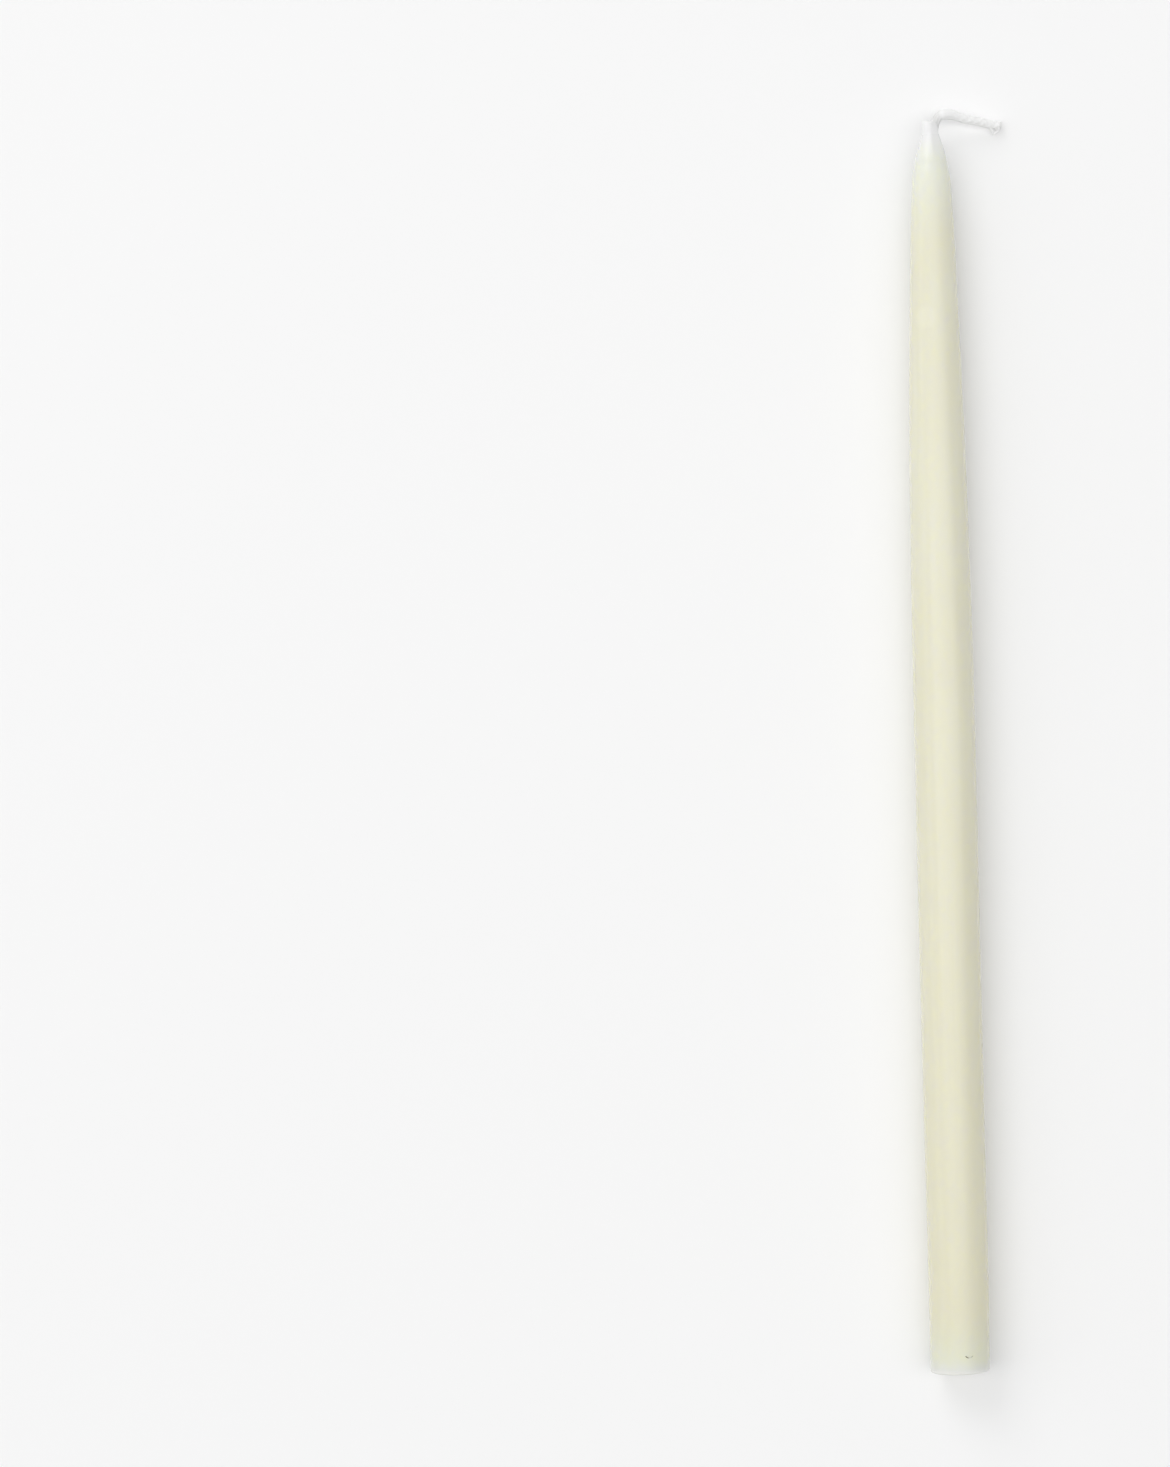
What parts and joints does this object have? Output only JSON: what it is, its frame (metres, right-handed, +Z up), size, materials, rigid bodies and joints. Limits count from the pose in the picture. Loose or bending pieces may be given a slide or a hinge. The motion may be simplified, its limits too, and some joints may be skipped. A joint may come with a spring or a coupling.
{
  "type": "taper candle",
  "caption": "Slim ivory dipped taper candle with a straight butt, a long taper, a rounded nose and a bent cotton wick, lying on its side.",
  "frame": {"origin": "centre of the candle's flat butt, half a butt diameter above the surface that it lies on", "axes": "+Y runs along the candle's axis from the butt to the tip, +Z is up, and the wick folds over towards +X"},
  "size_m": [0.0243, 0.2924, 0.0142],
  "materials": {
    "wax": "satin ivory wax",
    "wick": "white braided cotton, waxed"
  },
  "bodies": {
    "root": {"wax_body": "wax", "wick": "wick"}
  },
  "joints": []
}
